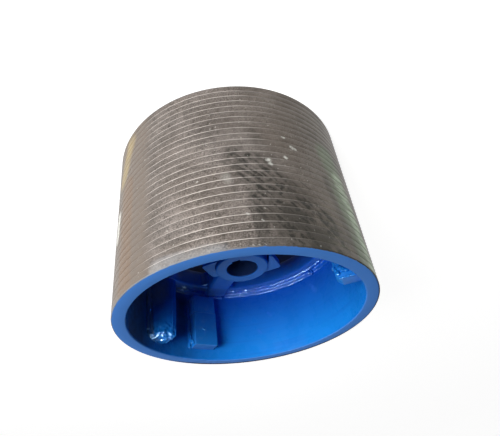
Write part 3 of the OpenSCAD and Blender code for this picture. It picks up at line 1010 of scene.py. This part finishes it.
# Start, end, width in mm, size of the gaps, level, softness and strength
scuffs = (
    (-92, 2, -104, 34, 22, 60, 0.1, 0.3, 0.8),
    (-98, 24, -128, 128, 34, 22, -0.2, 0.4, 1.0),
    (-106, 84, -120, 150, 44, 20, -0.4, 0.4, 1.0),
)
patches = (
    (-98, 88, -99, 134, 12, 30, 0.0, 0.2, 0.5),
    (-103.5, 84, -106, 130, 13, 30, 0.0, 0.2, 0.55),
    (-110, 104, -120, 138, 26, 40, -0.2, 0.4, 0.75),
    (-97, 66, -106, 76, 12, 40, 0.2, 0.2, 0.45),
    (-119, 70, -129, 96, 1.0, 30, -0.2, 0.12, 0.6),
    (-117, 42, -128, 72, 1.1, 25, -0.4, 0.12, 0.7),
    (-121, 94, -130, 123, 1.3, 25, -0.4, 0.12, 0.8),
    (-111, 118, -124, 139, 1.2, 25, -0.4, 0.12, 0.8),
    (-90, -8, -97, 12, 1.2, 30, -0.3, 0.12, 0.6),
)
grime = (
    (-100, 142, -122, 146, 20, 30, -0.1, 0.5, 0.45),
    (-110, 128, -120, 138, 26, 30, -0.1, 0.5, 0.5),
)


def stroke_mask(turn_a, z_a, turn_b, z_b, width, gap_scale, level, soft, strength):
    """One stroke on the belt face, from the numbers of a table row."""
    mask = place_group(tree, stroke_group, {
        "Point": point, "Start": on_face(turn_a, z_a), "End": on_face(turn_b, z_b),
        "Width": width * MM, "Break": float(gap_scale), "Level": level, "Soft": soft,
    })["Mask"]
    return calc(tree, "MULTIPLY", mask, strength)


scuffed = 0.0
for row in scuffs:
    scuffed = calc(tree, "MAXIMUM", scuffed, stroke_mask(*row))
scuffed = calc(tree, "MULTIPLY", scuffed, streaks)
for row in patches:
    scuffed = calc(tree, "MAXIMUM", scuffed, stroke_mask(*row))
scuffed = calc(tree, "MULTIPLY", scuffed, calc(tree, "SUBTRACT", 1.0, calc(tree, "MULTIPLY", deep, 0.5)))
for row in grime:
    scuffed = calc(tree, "MAXIMUM", scuffed, stroke_mask(*row))
steel = mix_colours(tree, scuffed, steel, SCUFF)

# A smooth pale tan band up one side, lighter in its grooves as painted light that cancels their shade, with streaks in
# and near it
side_band = stroke_mask(-39, -170, -41, 170, 58, 18, -0.5, 0.5, 0.92)
steel = mix_colours(tree, side_band, steel, mix_colours(tree, deep, SIDE_BAND_TONE, GROOVE_SHADE_LIFT))
streak_rows = (
    (-38, -128, -31, -68, 23, 30, 0.0, 0.7, 0.85, TAN_YELLOW),
    (-37, -35, -39, 150, 24, 25, -0.3, 0.5, 0.5, CLAY),
    # A painted highlight: a white glint near the edge of the face
    (-27, -2, -26, 38, 12, 90, 0.1, 0.5, 0.75, LIME),
    # A painted reflection: a green band along the other edge of the face
    (-139, -40, -147, 150, 30, 25, -0.1, 0.5, 0.55, GREEN_REFLECTION),
    (-132, 20, -140, 150, 10, 60, 0.0, 0.4, 0.35, SCUFF),
    # A painted sheen: a pale band by the end
    (-58, 141, -84, 147, 12, 60, 0.0, 0.7, 0.12, PALE_SHEEN),
    (-88, 38, -89, 44, 9, 80, 0.2, 0.4, 0.12, LIME),
)
for *row, tone_colour in streak_rows:
    steel = mix_colours(tree, stroke_mask(*row), steel, tone_colour)

# A painted pale green reflection on one edge of the face, broken into fine lines along the turning marks
green_reflection_lines = calc(tree, "MULTIPLY", stroke_mask(-143, 8, -154, 158, 22, 40, -0.3, 0.8, 0.95), spread(tree, lines, 0.4, 0.6))
steel = mix_colours(tree, green_reflection_lines, steel, PALE_GREEN)

# A painted pale sheen by the end, and lime specks
sheen_and_lime = stroke_mask(-58, 144, -82, 147, 11, 30, 0.1, 0.7, 0.1)
for turn, height, size in (
    (-105.3, 10, 4.5), (-105.8, 16, 3.5), (-113, 1, 3.5), (-117, -23, 4), (-118.5, -21, 3), (-114, -41, 3),
    (-94, 101, 2.0), (-99, 112, 1.5), (-94.5, 147, 0.9), (-96.5, 147.5, 1.0), (-98.5, 146.5, 0.8),
):
    strength = min(0.7, 0.25 + 0.12 * size)
    speck = stroke_mask(turn, height, turn - 0.6, height + 1.5, size, 300, 0.4, 0.5, strength)
    sheen_and_lime = calc(tree, "MAXIMUM", sheen_and_lime, speck)
fine_lime = place_group(tree, blotch_group, {"Point": point, "Scale": 260.0, "Low": 0.73, "High": 0.79, "Detail": 1.0})
sheen_and_lime = calc(tree, "MAXIMUM", sheen_and_lime, calc(tree, "MULTIPLY", fine_lime["Mask"], 0.3))
steel = mix_colours(tree, sheen_and_lime, steel, LIME)

# Enamel on the ends and inside, chipped at its outer limit
film = place_group(tree, film_group, {"Point": point, "Gloss": 0.27, "Peel": 0.8})
# Painted light: the blue is lighter towards the open ends.
blue = blue_lit_towards_ends(tree, film["Shade"], around["Height"])
end_zone = spread(tree, calc(tree, "ABSOLUTE", around["Height"]), half_face - 1.6 * MM, half_face - 1.4 * MM)
# The end face is painted lighter: painted light on a face across the axis.
blue = mix_colours(tree, calc(tree, "MULTIPLY", end_zone, 0.85), blue, LIT_FACE_BLUE)
brushed = vector_calc(tree, "MULTIPLY", point, (7.0, 7.0, 240.0))
brush_marks = put(tree, "ShaderNodeTexNoise", {"Vector": brushed, "Scale": 1.0, "Detail": 3.0}).outputs[0]
brush_marks = calc(tree, "MULTIPLY", spread(tree, brush_marks, 0.5, 0.75, 0.0, 0.35),
                   calc(tree, "SUBTRACT", 1.0, end_zone))
blue = mix_colours(tree, brush_marks, blue, BLUE_DEEP)
# Painted shade: near black in the lower half and beside the bars.
shade_share = painted_shade_share(tree, point, around)
blue = mix_colours(tree, shade_share, blue, SHADE_BLACK)
ragged = put(tree, "ShaderNodeTexNoise", {"Vector": point, "Scale": 160.0, "Detail": 4.0}).outputs[0]
limit = calc(tree, "ADD", around["Reach"], calc(tree, "MULTIPLY", calc(tree, "SUBTRACT", ragged, 0.5), 2.4 * MM))
painted = spread(tree, limit, outer_r - 0.9 * MM, outer_r - 1.3 * MM)
painted = calc(tree, "MULTIPLY", painted, spread(tree, around["Reach"], outer_r - 0.02 * MM, outer_r - 0.06 * MM))
# The bare outer edge of each end is darkened all round: painted shade.
steel = mix_colours(tree, calc(tree, "MULTIPLY", end_zone, 0.6), steel, SCUFF)


def towards(turn, low, high):
    """Share by which a point lies in a direction, given in degrees."""
    angle = math.radians(turn)
    dot = put(tree, "ShaderNodeVectorMath", {0: point, 1: (math.cos(angle), math.sin(angle), 0)}, operation="DOT_PRODUCT")
    return spread(tree, dot.outputs["Value"], low * outer_r, high * outer_r)


# The outer edge of the end: a painted highlight on the side of the main light, painted shade on the far side
painted_edge_highlight = calc(tree, "MULTIPLY", end_zone, towards(-50, 0.6, 0.95))
steel = mix_colours(tree, calc(tree, "MULTIPLY", painted_edge_highlight, 0.28), steel, PALE_SHEEN)
edge_shade_from = calc(tree, "SUBTRACT", outer_r - 2.8 * MM, calc(tree, "MULTIPLY", towards(80, 0.2, 0.9), 4.2 * MM))
painted_edge_shade = spread(tree, calc(tree, "SUBTRACT", around["Reach"], edge_shade_from), 0.0, 1.0 * MM, 0.0, 0.9)
painted_edge_shade = calc(tree, "MULTIPLY", calc(tree, "MULTIPLY", painted_edge_shade, end_zone), towards(125, 0.0, 0.4))
blue = mix_colours(tree, painted_edge_shade, blue, SHADE_BLACK)
steel = mix_colours(tree, painted_edge_shade, steel, SHADE_BLACK)

# Overspray that dried pale on the wall
for turn, height, size in ((102.7, 67, 4), (135.3, 51, 7), (134, 42, 4), (95, 98, 3)):
    stuck = place_group(tree, stroke_group, {
        "Point": point, "Start": inside_at(turn, 180, height), "End": inside_at(turn + 1.5, 180, height + 6),
        "Width": size * MM, "Break": 260.0, "Level": 0.2, "Soft": 0.5,
    })["Mask"]
    blue = mix_colours(tree, calc(tree, "MULTIPLY", stuck, 0.5), blue, OVERSPRAY)
inside = spread(tree, around["Reach"], inner_r + 3 * MM, inner_r + 2 * MM)
painted = calc(tree, "MULTIPLY", painted, calc(tree, "MAXIMUM", end_zone, inside))

colour = mix_colours(tree, painted, steel, blue)
tree.links.new(colour, shader.inputs["Base Color"])
off_end = calc(tree, "SUBTRACT", 1.0, end_zone)
bare_face = calc(tree, "MULTIPLY", calc(tree, "SUBTRACT", 1.0, painted), off_end)
tree.links.new(calc(tree, "MULTIPLY", bare_face, 0.35), shader.inputs["Metallic"])
steel_rough = calc(tree, "MAXIMUM", spread(tree, speckle, 0.3, 0.7, 0.36, 0.52), calc(tree, "MULTIPLY", end_zone, 0.8))
bare = calc(tree, "SUBTRACT", 1.0, painted)
film_rough = calc(tree, "MAXIMUM", film["Roughness"], calc(tree, "MULTIPLY", shade_share, 0.7))
film_rough = calc(tree, "MAXIMUM", film_rough, calc(tree, "MULTIPLY", end_zone, 0.6))
film_rough = calc(tree, "MAXIMUM", film_rough, painted_edge_shade)
rough = calc(tree, "ADD", calc(tree, "MULTIPLY", steel_rough, bare), calc(tree, "MULTIPLY", film_rough, painted))
tree.links.new(rough, shader.inputs["Roughness"])
grain_height = calc(tree, "ADD", calc(tree, "MULTIPLY", lines, 0.35), calc(tree, "MULTIPLY", speckle, 0.5))
film_height = calc(tree, "MULTIPLY", film["Height"], spread(tree, end_zone, 0.0, 1.0, 1.0, 0.25))
relief = calc(tree, "ADD", calc(tree, "MULTIPLY", grain_height, bare), calc(tree, "MULTIPLY", film_height, painted))
shader.inputs["Specular IOR Level"].default_value = 0.14
bump = put(tree, "ShaderNodeBump", {"Height": relief, "Strength": 1.0, "Distance": 0.0004})
tree.links.new(bump.outputs[0], shader.inputs["Normal"])

# %% [markdown]
# ## Finishing
#
# Each new piece was filed under one of three slots when it was modelled. Handing out the
# finishes by slot keeps the shapes free of materials until this point, so one line
# changes the look of every weld.

# %% Give each piece its finish
finishes = {"turned_steel": shell_finish, "blue_paint": enamel, "painted_weld": weld_enamel}
for piece in bpy.context.scene.objects:
    if piece.type == "MESH" and "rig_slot" in piece:
        piece.data.materials.clear()
        piece.data.materials.append(finishes[piece["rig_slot"]])

# %% [markdown]
# ## Studio
#
# The drum stands on a plain pale floor. To the lens and to glossy reflections the floor
# glows almost white, while to the light that bounces about it is a grey surface, so it
# still takes the drum's shadow and doesn't flood the underside.

# %% Floor
deselect()
bpy.ops.mesh.primitive_plane_add(size=60, location=(0, 0, -half_face))
floor = bpy.context.object
floor.name = "floor"
floor_finish = bpy.data.materials.new("pale_floor")
floor_finish.use_nodes = True
tree = floor_finish.node_tree
shader = tree.nodes["Principled BSDF"]
shader.inputs["Base Color"].default_value = (0.5, 0.5, 0.5, 1)
shader.inputs["Roughness"].default_value = 0.8
rays = put(tree, "ShaderNodeLightPath").outputs
seen = calc(tree, "MAXIMUM", rays["Is Camera Ray"], rays["Is Glossy Ray"])
seen = calc(tree, "MAXIMUM", seen, rays["Is Transmission Ray"])
shader.inputs["Emission Color"].default_value = (1, 1, 1, 1)
tree.links.new(calc(tree, "MULTIPLY", seen, 0.86), shader.inputs["Emission Strength"])
floor.data.materials.append(floor_finish)

# %% [markdown]
# The main light is low and broad, on the side from which the belt face is seen, and
# weak ones warm one edge of the face and cool the other. A narrow strip above reaches
# the welds alone. It gives only reflections, as a bare tube in a workshop does on
# glossy paint, and picks out the crests of the beads.

# %% Lights
def soft_light(name, turn, rise, distance, size, power, colour):
    """Aim a square soft light at the drum from a direction in degrees."""
    a, e = math.radians(turn), math.radians(rise)
    place = Vector((math.cos(e) * math.cos(a), math.cos(e) * math.sin(a), math.sin(e))) * distance
    bpy.ops.object.light_add(type="AREA", location=place)
    lamp = bpy.context.object
    lamp.name = name
    lamp.rotation_euler = (-place).to_track_quat("-Z", "Y").to_euler()
    lamp.data.energy = power
    lamp.data.size = size
    lamp.data.color = colour
    print(name, [round(c, 2) for c in place])
    return lamp


soft_light("key", -56, 15, 1.8, 1.2, 62, (1.0, 0.99, 0.97))
soft_light("warm_side", 12, -2, 1.3, 0.24, 1.0, (1.0, 0.82, 0.6))
soft_light("cool_side", 193, -2, 1.3, 0.24, 3.0, (0.88, 1.0, 0.84))
soft_light("top_soft", 90, 78, 1.5, 0.9, 3, (1.0, 1.0, 1.0))
sparkle = soft_light("sparkle", -15, 67, 1.17, 1.1, 400, (0.45, 0.76, 1.0))
sparkle.rotation_euler = (0, 0, math.radians(30))
sparkle.data.shape = "RECTANGLE"
sparkle.data.size_y = 0.12
sparkle.visible_diffuse = False
welds = bpy.data.collections.new("welds")
for piece in bpy.context.scene.objects:
    if piece.get("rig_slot") == "painted_weld" or piece.name == "round_bar":
        welds.objects.link(piece)
sparkle.light_linking.receiver_collection = welds

world = bpy.data.worlds.new("studio")
bpy.context.scene.world = world
world.use_nodes = True
tree = world.node_tree
background = tree.nodes["Background"]
rays = put(tree, "ShaderNodeLightPath").outputs
seen = calc(tree, "MAXIMUM", rays["Is Camera Ray"], rays["Is Glossy Ray"])
seen = calc(tree, "MAXIMUM", seen, rays["Is Transmission Ray"])
FILL = 0.04
tree.links.new(spread(tree, seen, 0.0, 1.0, FILL, 1.0), background.inputs["Strength"])
background.inputs["Color"].default_value = (1, 1, 1, 1)
bpy.context.scene.view_settings.view_transform = "Standard"
